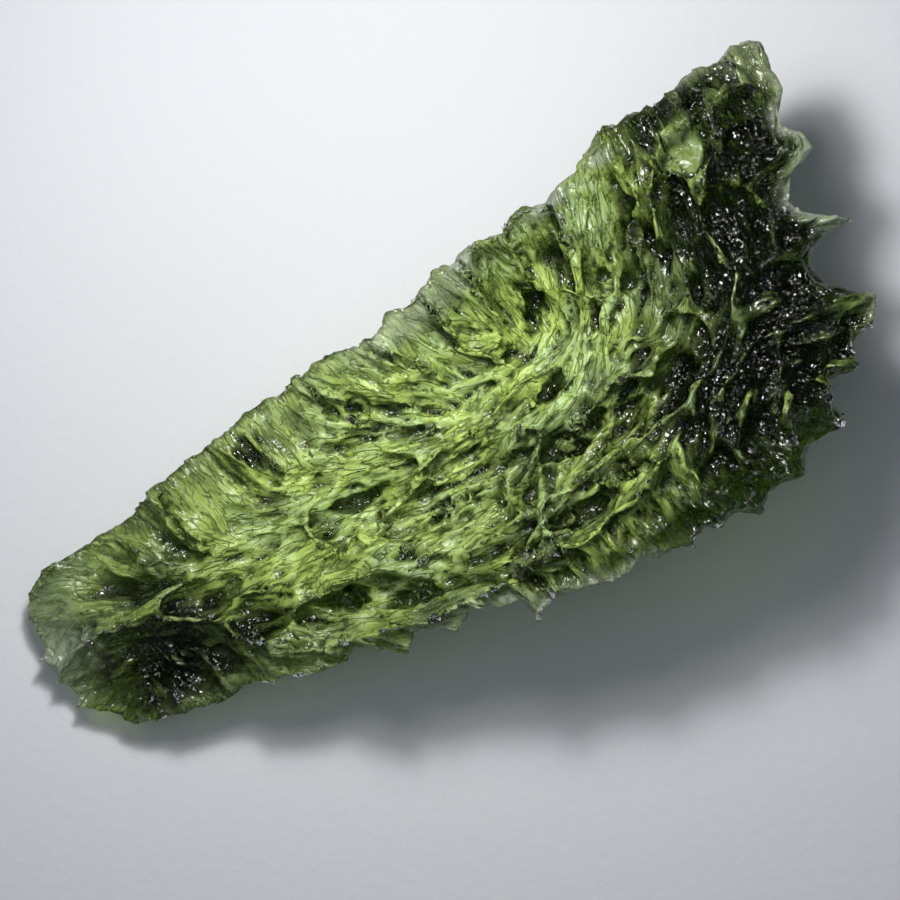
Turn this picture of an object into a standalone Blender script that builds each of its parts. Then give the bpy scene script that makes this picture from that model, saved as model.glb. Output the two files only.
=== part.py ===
"""A deeply sculptured moldavite: one piece of natural green glass, lying on its convex underside.

The glass is a bent, dished slab. Its upper rim is long and nearly straight, its belly and right end
carry spines, and its whole surface is etched into gouges that run along a flowing grain.
Frame: X along the straight rim, Y across the slab, Z up; the origin is the middle of the footprint
box, on the table. Lengths in the tables below are millimetres.
"""

import bmesh
import bpy
import numpy as np
from mathutils import Matrix, Vector, noise

NAME = "moldavite"
MM = 0.001

BLANK_VOXEL = 0.30       # grid of the flat blank that is bent into the slab
BLANK_HALF = 2.0         # half thickness of that blank
BODY_VOXEL = 0.22        # grid on which spines are joined and gouges are cut
TRIANGLES = 9700         # facets of the finished stone
SEED = 7

EDGE_HALF = 0.95         # half thickness just inside the rim, which is rounded over EDGE_ROUND
EDGE_ROUND = 1.6
EDGE_BLUNT = 0.1         # how blunt the rim is, as a share of EDGE_ROUND
RIM_REACH = 5.2          # how far in from the rim the upper face keeps some of the rim's height
KEEL_REACH = 7.2         # how far in from the rim the underside comes down to the table
KEEL_CURVE = 2.0
KEEL_CLEAR = 0.2         # the smooth underside stays this far above the table; only bumps reach it
THIN_GUARD = 0.26        # most that one side may be carved, as a share of the thickness there
RIM_BODY = 0.7           # thickness that the carving reckons with at the outline, growing inwards
WANDER = 0.45            # how far ridges and hollows wander from their drawn lines
WANDER_SCALE = 3.0
WANDER_OTHER = Vector((7.0, 3.0, 5.0))   # where the sideways wander is read, apart from the other
BLEND_POWER = 3.0        # how fast a table entry loses its say with distance
BLEND_SOFT = 0.3         # distance within which a table entry keeps its full say

# Plan outline of the slab with its teeth, clockwise from the left end of the straight rim.
OUTLINE = [
    (-24.2, 9.7), (-22.2, 10.5), (-18.0, 9.9), (-12.0, 10.5), (-11.0, 10.2), (-8.2, 10.6),
    (-6.4, 10.3), (-4.0, 10.4), (-2.3, 10.0), (-0.8, 9.2), (0.5, 10.4), (1.9, 9.7),
    (3.0, 10.3), (4.2, 10.4), (4.8, 9.7), (5.6, 10.4), (6.9, 10.2), (8.0, 9.6),
    (8.9, 10.4), (9.9, 10.1), (10.5, 9.5), (11.3, 10.1), (12.5, 9.9), (14.9, 11.0),
    (18.8, 10.4), (20.9, 10.5), (22.0, 10.4), (23.5, 10.4), (24.5, 9.9), (25.0, 9.2),
    (24.9, 8.4), (24.4, 7.7), (24.5, 6.4), (24.0, 5.8), (23.1, 5.3), (23.8, 4.6),
    (24.0, 4.1), (23.7, 2.7), (22.9, 2.8), (22.4, 2.3), (20.9, 1.9), (21.3, 1.1),
    (21.6, 0.1), (22.3, -0.5), (23.4, -0.8), (23.4, -1.2), (23.1, -1.6), (20.5, -1.2),
    (20.2, -1.6), (19.7, -2.4), (20.5, -3.3), (20.4, -3.6), (21.6, -4.4), (21.8, -4.7),
    (21.7, -5.2), (21.0, -6.0), (20.1, -6.6), (19.1, -6.1), (18.9, -7.9), (18.4, -8.0),
    (17.4, -7.4), (16.9, -7.3), (16.6, -8.4), (16.7, -9.7), (16.2, -9.9), (15.1, -9.5),
    (14.8, -9.5), (14.1, -8.9), (14.1, -9.5), (13.3, -9.8), (13.2, -10.5), (12.8, -10.8),
    (11.7, -10.2), (10.9, -10.1), (10.7, -9.8), (10.4, -10.7), (9.7, -11.0), (8.6, -9.8),
    (8.4, -9.8), (7.7, -10.5), (7.2, -9.6), (6.8, -9.3), (6.0, -10.3), (5.7, -9.8),
    (4.9, -9.5), (4.8, -9.3), (4.7, -9.2), (4.2, -9.5), (3.4, -8.8), (2.5, -9.3),
    (2.1, -9.1), (1.6, -9.4), (0.9, -8.7), (-0.9, -8.2), (-2.1, -8.0), (-2.7, -8.5),
    (-3.3, -8.6), (-3.2, -6.6), (-3.4, -6.4), (-4.3, -7.1), (-4.4, -6.5), (-4.6, -6.3),
    (-4.9, -5.7), (-6.9, -6.4), (-8.2, -4.8), (-9.3, -5.8), (-10.2, -5.0), (-10.3, -4.7),
    (-10.9, -4.6), (-10.9, -3.6), (-11.1, -3.5), (-11.7, -3.8), (-12.2, -4.4), (-13.2, -3.6),
    (-14.2, -3.6), (-14.4, -3.2), (-15.2, -2.7), (-15.7, -2.6), (-16.4, -3.0), (-16.4, -2.5),
    (-17.2, -1.8), (-17.4, -1.8), (-18.1, -2.2), (-20.0, -1.2), (-21.0, -1.1), (-23.6, 0.0),
    (-24.0, 0.3), (-24.1, 0.8), (-23.8, 1.4), (-24.8, 1.8), (-25.2, 2.9), (-25.2, 5.6),
]

# Height of the rim above the table, at places along the outline: x, y, z. The left end lies on the
# table and the rim climbs steadily to the right.
RIM = [
    (-24.8, 4.5, 1.4), (-24.0, 8.6, 1.6), (-21.0, 9.8, 2.4), (-12.0, 10.2, 5.2),
    (0.0, 10.0, 8.2), (10.0, 9.6, 10.4), (16.0, 10.6, 11.6), (24.5, 9.0, 12.2),
    (23.0, 4.0, 11.8), (21.0, -1.0, 11.6), (20.0, -5.0, 12.0), (16.0, -8.5, 12.6),
    (10.0, -9.6, 12.8), (4.0, -8.8, 11.8), (-3.0, -7.8, 10.4), (-8.5, -5.2, 8.3),
    (-14.0, -3.0, 5.8), (-20.0, -1.0, 3.2), (-23.8, 0.8, 1.8),
]

# Height of the upper face away from the rim: x, y, z. The face dips in the middle, climbs to a
# ledge along the belly and to the thick right end.
FACE = [
    (-22.3, 8.2, 3.6), (-22.0, 5.2, 3.6), (-21.5, 2.8, 3.2), (-20.5, 0.6, 3.8),
    (-17.0, 7.0, 4.2), (-17.5, 3.4, 4.1), (-15.5, 0.8, 5.2), (-12.3, 7.2, 4.8),
    (-12.0, 4.0, 4.6), (-12.5, 0.6, 5.8), (-11.0, -2.2, 7.6), (-7.2, 7.2, 5.5),
    (-6.0, 4.2, 5.1), (-5.5, 1.4, 6.2), (-6.5, -1.4, 8.0), (-6.0, -4.0, 9.7),
    (0.0, 7.4, 6.5), (0.5, 4.2, 5.8), (0.0, 1.4, 6.8), (0.0, -1.4, 8.7), (0.0, -5.2, 11.8),
    (6.5, 7.2, 7.6), (6.0, 4.0, 6.8), (6.0, 0.8, 7.9), (6.0, -2.0, 9.8), (6.0, -5.2, 12.9),
    (11.5, 7.0, 10.0), (11.0, 3.0, 9.3), (11.0, -0.8, 9.9), (11.0, -4.4, 12.2),
    (12.0, -7.0, 13.2), (16.0, 7.5, 12.6), (16.0, 2.5, 11.8), (15.0, -2.5, 12.4),
    (16.0, -6.0, 13.6), (20.5, 7.5, 13.6), (20.5, 4.0, 13.2), (18.5, -1.0, 13.0),
    (17.8, -4.5, 13.7),
]

# Spines and blunt teeth of the rim: root x, y; tip x, y; half width of the root; of the tip;
# rise of the tip above the rim.
SPINE_SIDES = 10
SPINE_TALLNESS = 1.5     # height of a spine's cross section for a width of one
SPINES = [
    (23.3, 9.2, 24.8, 9.3, 1.0, 0.45, 0.3), (23.0, 7.4, 24.1, 7.2, 1.2, 0.5, -0.4),
    (21.4, 4.4, 23.5, 3.1, 1.3, 0.35, 0.2), (21.6, 5.0, 23.4, 4.6, 1.0, 0.4, -0.4),
    (20.2, 0.4, 22.4, -0.6, 1.1, 0.5, 0.4), (20.8, -0.2, 23.2, -1.1, 0.7, 0.34, 0.6),
    (18.8, -2.6, 20.2, -3.3, 0.8, 0.3, 0.9), (18.4, -3.6, 21.3, -4.9, 1.4, 0.65, 0.2),
    (18.4, -4.6, 20.7, -5.7, 1.3, 0.6, -0.2), (17.2, -5.6, 18.6, -7.7, 1.4, 0.22, 0.2),
    (15.9, -6.4, 16.4, -8.4, 1.0, 0.35, 0.4), (14.9, -7.6, 16.4, -9.5, 1.5, 0.3, -0.2),
    (12.9, -8.0, 13.8, -9.3, 1.0, 0.35, 0.6), (11.6, -8.8, 12.8, -10.5, 1.1, 0.4, -0.1),
    (9.4, -8.6, 10.0, -10.7, 1.1, 0.45, -0.3), (7.4, -8.4, 7.7, -10.2, 1.0, 0.18, 0.4),
    (5.7, -8.2, 6.0, -10.0, 0.9, 0.18, -0.2), (4.1, -7.8, 4.3, -9.3, 0.8, 0.25, 0.3),
    (2.3, -7.7, 2.5, -9.1, 0.8, 0.22, -0.3), (1.4, -7.7, 1.6, -9.2, 0.8, 0.2, 0.3),
    (0.4, -7.2, 0.6, -8.5, 0.8, 0.24, -0.1), (-2.4, -6.4, -3.0, -8.4, 0.9, 0.25, 0.2),
    (-3.9, -5.4, -4.2, -6.8, 0.7, 0.2, -0.2), (-6.4, -5.0, -6.8, -6.1, 1.0, 0.4, 0.2),
    (-9.0, -4.2, -9.3, -5.6, 1.0, 0.28, -0.2), (-10.3, -3.4, -10.7, -4.4, 0.8, 0.28, 0.3),
    (-11.9, -3.0, -12.2, -4.1, 0.8, 0.28, 0.2), (-13.9, -2.2, -14.2, -3.4, 0.8, 0.26, -0.2),
    (-16.0, -1.5, -16.3, -2.6, 0.7, 0.24, 0.2), (-17.8, -0.9, -18.1, -2.0, 0.7, 0.26, 0.0),
    (-20.5, -0.5, -20.8, -1.3, 0.8, 0.3, 0.1), (-24.1, 4.6, -26.3, 4.6, 0.9, 0.22, 0.1),
    (-24.3, 3.3, -25.8, 2.9, 0.8, 0.3, -0.2), (-24.3, 6.0, -25.9, 6.3, 1.0, 0.36, 0.2),
    (-23.7, 8.1, -24.7, 8.6, 1.1, 0.5, 0.1),
]

# Short spines that stand off the faces near the right end and the belly, pointing outwards:
# root x, y; tip x, y; half width; rise of the tip above the face at the root.
FACE_SPINE_TIP = 0.15
FACE_SPINE_SINK = 0.6    # how deep its root is sunk, as a share of its half width
FACE_SPINES = [
    (19.4, 1.4, 20.8, 1.3, 0.8, 0.5), (17.6, -3.0, 19.6, -3.4, 0.9, 0.7),
    (14.6, -6.4, 15.4, -7.9, 0.9, 0.6), (11.0, -8.0, 11.2, -9.3, 0.8, 0.7),
    (8.4, -7.2, 8.6, -8.7, 0.8, 0.8), (5.2, -7.3, 5.2, -8.7, 0.7, 0.6),
    (3.2, -7.2, 3.3, -8.4, 0.6, 0.5), (-1.0, -6.9, -1.1, -7.9, 0.7, 0.4),
    (20.8, 8.2, 22.2, 8.6, 0.9, 0.8), (21.2, 6.0, 22.8, 6.0, 0.9, 0.6),
]

# Long ridges of the upper face, each a half width, a height and the points of its crest.
RIDGE_FLARE = 1.6        # how far a ridge's flanks reach, as a multiple of its half width
RIDGES = [
    (0.8, 0.9, [(10.7, 7.4), (9.7, 5.0), (8.8, 3.0), (7.4, 1.3), (5.4, 0.5), (2.4, 0.3)]),
    (0.7, 0.6, [(13.2, 9.3), (11.6, 6.0), (10.4, 3.6), (9.4, 1.9)]),
    (0.6, 0.6, [(14.6, 8.6), (13.3, 5.2), (12.4, 2.2)]),
    (0.6, 0.6, [(16.6, 8.0), (15.0, 5.4), (13.8, 2.3)]),
    (0.6, 0.7, [(18.2, 5.4), (16.8, 3.4), (16.1, 0.8)]),
    (0.6, 0.6, [(19.4, 3.4), (19.1, 1.6), (18.6, -0.4)]),
    (0.6, 0.6, [(19.9, 9.4), (20.2, 7.6), (19.4, 5.8)]),
    (0.8, 0.9, [(8.2, -5.0), (4.0, -5.4), (0.0, -5.5), (-3.4, -5.0), (-7.0, -4.2),
                (-10.6, -3.1), (-13.8, -1.2), (-16.6, 1.6)]),
    (0.7, 0.8, [(11.6, -3.3), (8.0, -3.6), (4.2, -3.7), (0.4, -3.2), (-3.6, -2.7)]),
    (0.7, 0.7, [(-3.8, -1.6), (-6.6, -1.5), (-9.6, -0.4), (-13.0, 0.1)]),
    (0.6, 0.8, [(13.4, 0.6), (9.4, -0.7), (6.2, -0.3), (3.0, -0.4), (0.7, -1.7), (-0.7, -2.7)]),
    (0.6, 0.6, [(7.2, 2.2), (4.4, 2.3), (0.0, 2.2), (-3.4, 1.8), (-5.2, 1.4)]),
    (0.5, 0.5, [(-1.2, -0.4), (-3.4, 0.0), (-5.6, -0.5), (-7.6, 0.4)]),
    (0.6, 0.6, [(-7.8, 1.9), (-10.6, 1.1), (-13.2, 1.8)]),
    (0.7, 0.8, [(-24.4, 4.9), (-22.6, 5.5), (-20.4, 4.9), (-18.3, 3.8), (-17.5, 3.0)]),
    (0.6, 0.6, [(-21.8, 5.4), (-19.4, 5.2), (-16.0, 4.6)]),
    (0.5, 0.6, [(-22.4, 0.4), (-22.0, 1.6)]), (0.5, 0.6, [(-20.6, 0.2), (-20.2, 1.5)]),
    (0.5, 0.5, [(-18.6, -0.2), (-18.0, 1.2)]),
    (0.4, 0.5, [(-9.1, 9.4), (-9.1, 7.2), (-8.6, 6.3), (-6.0, 5.8), (-3.6, 6.2)]),
    (0.6, 0.6, [(-15.2, 9.7), (-15.0, 7.4), (-14.6, 5.8)]),
    (0.5, 0.5, [(-10.9, 9.7), (-10.5, 7.8)]), (0.5, 0.5, [(-18.6, 9.2), (-17.2, 6.6)]),
    (0.5, 0.6, [(-1.3, 9.3), (0.2, 6.8), (1.2, 4.4)]), (0.5, 0.6, [(2.5, 9.3), (3.0, 6.6)]),
    (0.5, 0.6, [(4.9, 9.2), (5.0, 6.8), (4.5, 4.6)]), (0.5, 0.6, [(8.0, 9.2), (7.6, 6.8)]),
    (0.5, 0.7, [(10.6, -5.6), (8.6, -6.9), (8.0, -8.4)]),
    (0.5, 0.7, [(12.9, -5.2), (10.9, -6.9), (10.6, -8.6)]),
    (0.5, 0.7, [(15.6, -4.6), (13.6, -6.6), (13.4, -8.2)]),
]

# Hollows, each a half width, a depth and the points of its floor.
HOLLOW_FLARE = 1.25
HOLLOWS = [
    (0.9, 1.0, [(-8.4, 2.7), (-6.5, 2.7), (-4.6, 2.2)]),
    (0.8, 1.0, [(-5.0, 0.9), (-2.6, 0.6), (-0.4, 0.5), (1.6, -0.4)]),
    (0.9, 1.2, [(1.0, -1.5), (3.4, -1.4), (5.8, -1.3)]),
    (0.8, 1.0, [(6.6, -1.6), (8.4, -2.1), (10.4, -2.1)]), (0.6, 0.8, [(9.6, 0.1), (12.2, -0.2)]),
    (0.9, 1.0, [(-12.2, -1.3), (-10.2, -1.6), (-8.4, -2.1)]), (0.8, 0.9, [(-8.2, -3.1), (-5.4, -3.1)]),
    (0.8, 0.8, [(-15.0, 1.4), (-13.0, 1.0)]), (0.8, 0.9, [(-17.5, 4.2), (-15.0, 3.7), (-13.4, 3.4)]),
    (0.8, 1.0, [(1.4, -4.6), (3.5, -4.6), (5.8, -4.6)]), (0.7, 0.8, [(-3.8, -4.0), (-0.8, -4.4)]),
    (1.7, 1.0, [(-23.0, 3.2), (-21.0, 2.9), (-19.2, 2.2)]), (1.1, 1.0, [(-18.8, 0.8), (-17.6, 1.2)]),
    (1.0, 1.4, [(9.3, -7.0), (9.6, -8.0)]), (1.0, 1.4, [(11.7, -6.8), (12.0, -7.8)]),
    (0.9, 1.0, [(14.6, 0.9), (14.4, 3.0)]), (0.7, 0.9, [(15.5, 3.8), (15.6, 5.6)]),
    (1.1, 1.2, [(17.8, 3.0), (17.4, 0.4)]), (1.1, 1.2, [(21.2, 6.1), (21.0, 5.2)]),
    (0.9, 1.0, [(15.0, -4.6), (17.0, -5.2)]), (0.9, 1.0, [(16.4, -1.2), (18.2, -1.8)]),
    (1.6, 0.6, [(-12.7, 9.2), (-12.8, 6.8)]), (2.2, 0.8, [(-7.3, 8.8), (-6.9, 7.4)]),
    (0.9, 0.6, [(-3.7, 9.0), (-3.2, 7.2)]), (0.6, 0.6, [(-3.8, 6.6), (-3.6, 6.5)]),
    (0.8, 0.6, [(1.3, 9.2), (1.6, 6.8)]), (0.8, 0.6, [(3.9, 9.2), (3.8, 7.0)]),
    (1.0, 0.7, [(6.5, 9.0), (6.2, 6.4)]), (0.8, 0.7, [(9.3, 8.6), (8.6, 6.2)]),
    (1.0, 0.6, [(-20.6, 8.8), (-19.4, 6.8)]), (0.9, 0.7, [(18.2, 9.6), (17.4, 9.2)]),
]

# Both fade out where the surface turns away from facing up: where they start and are whole.
FACING_START = 0.05
FACING_FULL = 0.45

# The underside's grain fans out from a keel line that runs along X.
KEEL_Y = 1.5
KEEL_HALF = 15.0
UNDERSIDE = -0.15        # upward part of the surface direction below which the fan holds
STEEP = 0.15             # where the surface cuts the grain this squarely, gouges run upright

# Direction of the grain on the upper face: x, y, degrees from +X.
GRAIN = [
    (-24.0, 6.2, 20), (-23.5, 3.6, 5), (-22.5, 8.6, 150), (-20.0, 7.6, 125), (-21.0, 5.2, 165),
    (-21.0, 1.0, 85), (-18.0, 4.4, 170), (-17.0, 8.0, 110), (-17.5, 1.6, 135), (-15.0, 8.6, 95),
    (-15.0, 3.4, 165), (-15.0, 0.4, 145), (-12.6, 8.0, 95), (-12.0, 5.0, 150), (-12.0, 2.6, 172),
    (-12.0, -2.0, 147), (-9.8, 8.4, 88), (-9.0, 4.4, 165), (-8.0, 1.2, 170), (-9.0, -1.4, 155),
    (-7.0, 8.2, 90), (-6.0, 4.4, 155), (-5.0, -2.0, 165), (-7.0, -4.6, 160), (-3.0, 8.6, 100),
    (-2.4, 6.4, 130), (-2.6, 3.8, 155), (-3.0, 1.4, 176), (-2.0, -2.4, 170), (-1.0, -5.4, 178),
    (0.4, 8.0, 108), (1.0, 5.4, 112), (1.4, 3.2, 0), (1.0, 1.2, 2), (2.0, -2.0, 20),
    (3.2, 8.0, 98), (3.4, 5.2, 150), (4.0, 1.2, 6), (4.0, -3.6, 4), (4.0, -5.6, 0),
    (6.4, 8.4, 88), (6.0, 5.2, 95), (6.0, 2.8, 20), (7.2, 1.2, 38), (7.0, -2.6, 14),
    (9.0, 8.0, 82), (9.2, 4.6, 64), (9.8, -0.6, 172), (10.4, -3.0, 30), (12.2, 7.0, 62),
    (12.0, 3.6, 62), (13.0, 0.2, 32), (13.4, -2.4, 34), (15.0, 5.6, 66), (15.0, 1.8, 80),
    (17.4, 8.0, 80), (18.0, 4.0, 68), (18.4, 0.6, 80), (21.4, 8.2, 95), (21.6, 5.0, 60),
    (21.0, 2.8, 170), (20.0, -0.8, 166), (17.0, -2.4, 160), (18.6, -4.6, 172), (17.4, -6.4, 135),
    (14.0, -5.4, 30), (15.4, -8.0, 122), (12.6, -8.2, 110), (10.0, -6.6, 60), (9.6, -8.8, 92),
    (7.0, -7.6, 82), (4.6, -7.6, 90), (1.6, -7.4, 88), (-1.6, -6.9, 92), (-4.4, -5.8, 98),
    (-8.8, -4.4, 110), (-12.0, -3.3, 120), (-16.0, -1.9, 118), (-19.0, -0.6, 105),
]

# Gouges cut over the whole surface, in passes: length, width, depth, spacing across the grain.
GOUGE_PASSES = [
    (5.0, 1.7, 0.75, 1.2),
    (3.2, 1.0, 0.42, 0.8),
]
GOUGE_SIZES = (0.75, 1.25)
GOUGE_STAGGER = 0.55     # spacing along the grain for the spacing across, per length over width
GOUGE_UNDER = 0.7        # gouges of the underside are this much shallower

# Fresh chip near the right end of the straight rim: a shallow bowl cut by a ball.
CHIP_CENTRE = (17.95, 7.35)
CHIP_RADIUS = 1.45
CHIP_DEPTH = 0.55
CHIP_TILT = -0.16        # slope of the bowl towards the right end
CHIP_LIP = 0.12          # width of its edge, as a share of its radius

# Low swellings of the underside that carry the stone: x, y.
FEET = [(-20.6, 4.2), (11.4, -2.2), (9.0, 4.6)]
FOOT_BASE = 0.2          # the table plane cuts this much off the swellings
FOOT_SLOPE = 0.1         # rise of a swelling away from its middle, per millimetre squared
FOOT_CORE = 0.85         # no gouge is cut this near to a swelling's middle

GLASS_COLOR = (0.16, 0.25, 0.035)
GLASS_ALPHA = 0.55
GLASS_ROUGHNESS = 0.12
GLASS_IOR = 1.49


def clear_scene():
    for obj in list(bpy.data.objects):
        bpy.data.objects.remove(obj, do_unlink=True)


def make_collection(name):
    group = bpy.data.collections.new(name)
    bpy.context.scene.collection.children.link(group)
    return group


def glass_material():
    material = bpy.data.materials.new("moldavite_glass")
    material.use_nodes = True
    shader = material.node_tree.nodes["Principled BSDF"]
    shader.inputs["Base Color"].default_value = (*GLASS_COLOR, 1.0)
    shader.inputs["Metallic"].default_value = 0.0
    shader.inputs["Roughness"].default_value = GLASS_ROUGHNESS
    shader.inputs["IOR"].default_value = GLASS_IOR
    shader.inputs["Alpha"].default_value = GLASS_ALPHA
    return material


def baked_mesh(obj):
    """The object's mesh with its modifiers applied; the object itself is removed."""
    depsgraph = bpy.context.evaluated_depsgraph_get()
    mesh = bpy.data.meshes.new_from_object(obj.evaluated_get(depsgraph), depsgraph=depsgraph)
    bpy.data.objects.remove(obj, do_unlink=True)
    return mesh


def remeshed(mesh, voxel, group):
    obj = bpy.data.objects.new("blank", mesh)
    group.objects.link(obj)
    remesh = obj.modifiers.new("even grid", "REMESH")
    remesh.mode = "VOXEL"
    remesh.voxel_size = voxel * MM
    return baked_mesh(obj)


def points_of(mesh):
    """Vertex positions in millimetres."""
    flat = np.empty(len(mesh.vertices) * 3, dtype=np.float32)
    mesh.vertices.foreach_get("co", flat)
    return flat.reshape(-1, 3).astype(np.float64) / MM


def normals_of(mesh):
    flat = np.empty(len(mesh.vertices) * 3, dtype=np.float32)
    mesh.vertex_normals.foreach_get("vector", flat)
    return flat.reshape(-1, 3).astype(np.float64)


def set_points(mesh, points):
    mesh.vertices.foreach_set("co", (points * MM).astype(np.float32).ravel())
    mesh.update()


def smooth_step(t):
    t = np.clip(t, 0.0, 1.0)
    return t * t * (3.0 - 2.0 * t)


def blended(table, x, y):
    """Value at each x, y, blended from a table of (x, y, value) by nearness."""
    table = np.array(table)
    gap = np.hypot(x[:, None] - table[None, :, 0], y[:, None] - table[None, :, 1])
    weight = (gap + BLEND_SOFT) ** -BLEND_POWER
    return (weight * table[None, :, 2]).sum(axis=1) / weight.sum(axis=1)


def stroke_distance(x, y, stroke, closed=False):
    """Distance in plan from each x, y to a polyline."""
    ends = np.array(stroke)
    starts = ends if closed else ends[:-1]
    stops = np.roll(ends, -1, axis=0) if closed else ends[1:]
    best = np.full(len(x), np.inf)
    for (ax, ay), (bx, by) in zip(starts, stops):
        run_x, run_y = bx - ax, by - ay
        length2 = run_x * run_x + run_y * run_y
        along = np.clip(((x - ax) * run_x + (y - ay) * run_y) / length2, 0.0, 1.0)
        best = np.minimum(best, np.hypot(x - ax - along * run_x, y - ay - along * run_y))
    return best


def is_inside(x, y):
    """Whether each x, y lies within the outline."""
    crossings = np.zeros(len(x), dtype=int)
    for (ax, ay), (bx, by) in zip(OUTLINE, OUTLINE[1:] + OUTLINE[:1]):
        spans = (ay > y) != (by > y)
        if ay != by:
            crossings += spans & (x < ax + (y - ay) * (bx - ax) / (by - ay))
    return crossings % 2 == 1


def upper_and_lower(x, y):
    """Heights of the upper face and the underside of the smooth slab, and the distance inside."""
    inside = stroke_distance(x, y, OUTLINE, closed=True) * is_inside(x, y)
    rim = blended(RIM, x, y)
    face = blended(FACE, x, y)
    edge = EDGE_HALF * np.sqrt(1.0 - (1.0 - np.clip(inside / EDGE_ROUND, EDGE_BLUNT, 1.0)) ** 2)
    upper = rim + (face - rim) * smooth_step(inside / RIM_REACH) + edge
    sink = 1.0 - np.clip(inside / KEEL_REACH, 0.0, 1.0)
    lower = KEEL_CLEAR + (rim - KEEL_CLEAR) * sink ** KEEL_CURVE + EDGE_HALF * (1.0 - sink) - edge
    for foot_x, foot_y in FEET:
        gap = np.hypot(x - foot_x, y - foot_y)
        lower = np.minimum(lower, FOOT_SLOPE * gap ** 2 - FOOT_BASE)
    return upper, lower, inside


def outline_blank(group):
    """The plan outline as a flat plate, from a filled curve with an extrusion."""
    curve = bpy.data.curves.new("outline", "CURVE")
    curve.dimensions = "2D"
    curve.fill_mode = "BOTH"
    curve.extrude = BLANK_HALF * MM
    spline = curve.splines.new("POLY")
    spline.points.add(len(OUTLINE) - 1)
    for point, (x, y) in zip(spline.points, OUTLINE):
        point.co = (x * MM, y * MM, 0.0, 1.0)
    spline.use_cyclic_u = True
    plate = bpy.data.objects.new("outline", curve)
    group.objects.link(plate)
    mesh = baked_mesh(plate)
    bm = bmesh.new()
    bm.from_mesh(mesh)
    bmesh.ops.remove_doubles(bm, verts=bm.verts, dist=0.01 * MM)
    bmesh.ops.recalc_face_normals(bm, faces=bm.faces)
    bm.to_mesh(mesh)
    bm.free()
    return remeshed(mesh, BLANK_VOXEL, group)


def bend_slab(mesh):
    """Each point of the plate moves to its share of the way between underside and upper face."""
    points = points_of(mesh)
    x, y, z = points.T
    upper, lower, _ = upper_and_lower(x, y)
    share = (z - z.min()) / (z.max() - z.min())
    points[:, 2] = lower + (upper - lower) * share
    set_points(mesh, points)


def add_cone(bm, root, tip, root_half, tip_half, tallness):
    """A cone from root to tip, taller than wide, whose base is sunk in the slab."""
    root, tip = Vector(root), Vector(tip)
    axis = tip - root
    base = root - axis.normalized() * root_half
    length = (tip - base).length
    turn = axis.to_track_quat("Z", "Y").to_matrix().to_4x4()
    stretch = Matrix.Diagonal((1.0, tallness, 1.0, 1.0))
    middle = Matrix.Translation((base + tip) / 2.0)
    bmesh.ops.create_cone(
        bm, cap_ends=True, segments=SPINE_SIDES, radius1=root_half, radius2=tip_half,
        depth=length, matrix=Matrix.Scale(MM, 4) @ middle @ turn @ stretch,
    )


def add_spines(mesh):
    bm = bmesh.new()
    bm.from_mesh(mesh)
    for root_x, root_y, tip_x, tip_y, root_half, tip_half, rise in SPINES:
        spots = np.array([(root_x, root_y), (tip_x, tip_y)])
        rim = blended(RIM, spots[:, 0], spots[:, 1])
        add_cone(bm, (root_x, root_y, rim[0]), (tip_x, tip_y, rim[1] + rise),
                 root_half, tip_half, SPINE_TALLNESS)
    for root_x, root_y, tip_x, tip_y, root_half, rise in FACE_SPINES:
        upper, _, _ = upper_and_lower(np.array([root_x]), np.array([root_y]))
        add_cone(bm, (root_x, root_y, upper[0] - FACE_SPINE_SINK * root_half),
                 (tip_x, tip_y, upper[0] + rise), root_half, FACE_SPINE_TIP, 1.0)
    bm.to_mesh(mesh)
    bm.free()


def grain_directions(points, normals):
    """Unit vectors along the surface: the drawn grain above, a fan from the keel below."""
    x, y = points[:, 0], points[:, 1]
    table = np.array(GRAIN, dtype=float)
    double = np.radians(table[:, 2] * 2.0)
    cos2 = blended(np.column_stack((table[:, :2], np.cos(double))), x, y)
    sin2 = blended(np.column_stack((table[:, :2], np.sin(double))), x, y)
    above = np.arctan2(sin2, cos2) / 2.0
    past_keel = np.clip(np.abs(x) - KEEL_HALF, 0.0, None) * np.sign(x)
    below = np.arctan2(y - KEEL_Y, past_keel)
    angle = np.where(normals[:, 2] > UNDERSIDE, above, below)
    flow = np.column_stack((np.cos(angle), np.sin(angle), np.zeros(len(x))))
    flow -= normals * (flow * normals).sum(axis=1)[:, None]
    size = np.linalg.norm(flow, axis=1)
    upright = np.column_stack((np.zeros(len(x)), np.zeros(len(x)), np.ones(len(x))))
    flow = np.where(size[:, None] > STEEP, flow, upright)
    return flow / np.linalg.norm(flow, axis=1)[:, None]


def guarded(depth, points):
    """A carving depth held back at teeth and where the slab is thin, so no gouge breaks through."""
    upper, lower, inside = upper_and_lower(points[:, 0], points[:, 1])
    most = THIN_GUARD * np.minimum(upper - lower, RIM_BODY + inside)
    return most * (1.0 - np.exp(-depth / most))


def carve_strokes(mesh):
    """Long ridges and hollows of the upper face."""
    points, normals = points_of(mesh), normals_of(mesh)
    spots = [Vector(point) / WANDER_SCALE for point in points]
    x = points[:, 0] + WANDER * np.array([noise.noise(spot) for spot in spots])
    y = points[:, 1] + WANDER * np.array([noise.noise(spot + WANDER_OTHER) for spot in spots])
    facing_up = smooth_step((normals[:, 2] - FACING_START) / (FACING_FULL - FACING_START))
    lift = np.zeros(len(points))
    for half, height, stroke in RIDGES:
        bump = np.clip(1.0 - stroke_distance(x, y, stroke) / (RIDGE_FLARE * half), 0.0, 1.0)
        lift = np.maximum(lift, height * bump)
    sink = np.zeros(len(points))
    for half, depth, stroke in HOLLOWS:
        reach = stroke_distance(x, y, stroke) / (HOLLOW_FLARE * half)
        bowl = np.clip(1.0 - reach ** 2, 0.0, 1.0)
        sink = np.maximum(sink, depth * bowl)
    points += normals * ((lift - guarded(sink, points)) * facing_up)[:, None]
    set_points(mesh, points)


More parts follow.
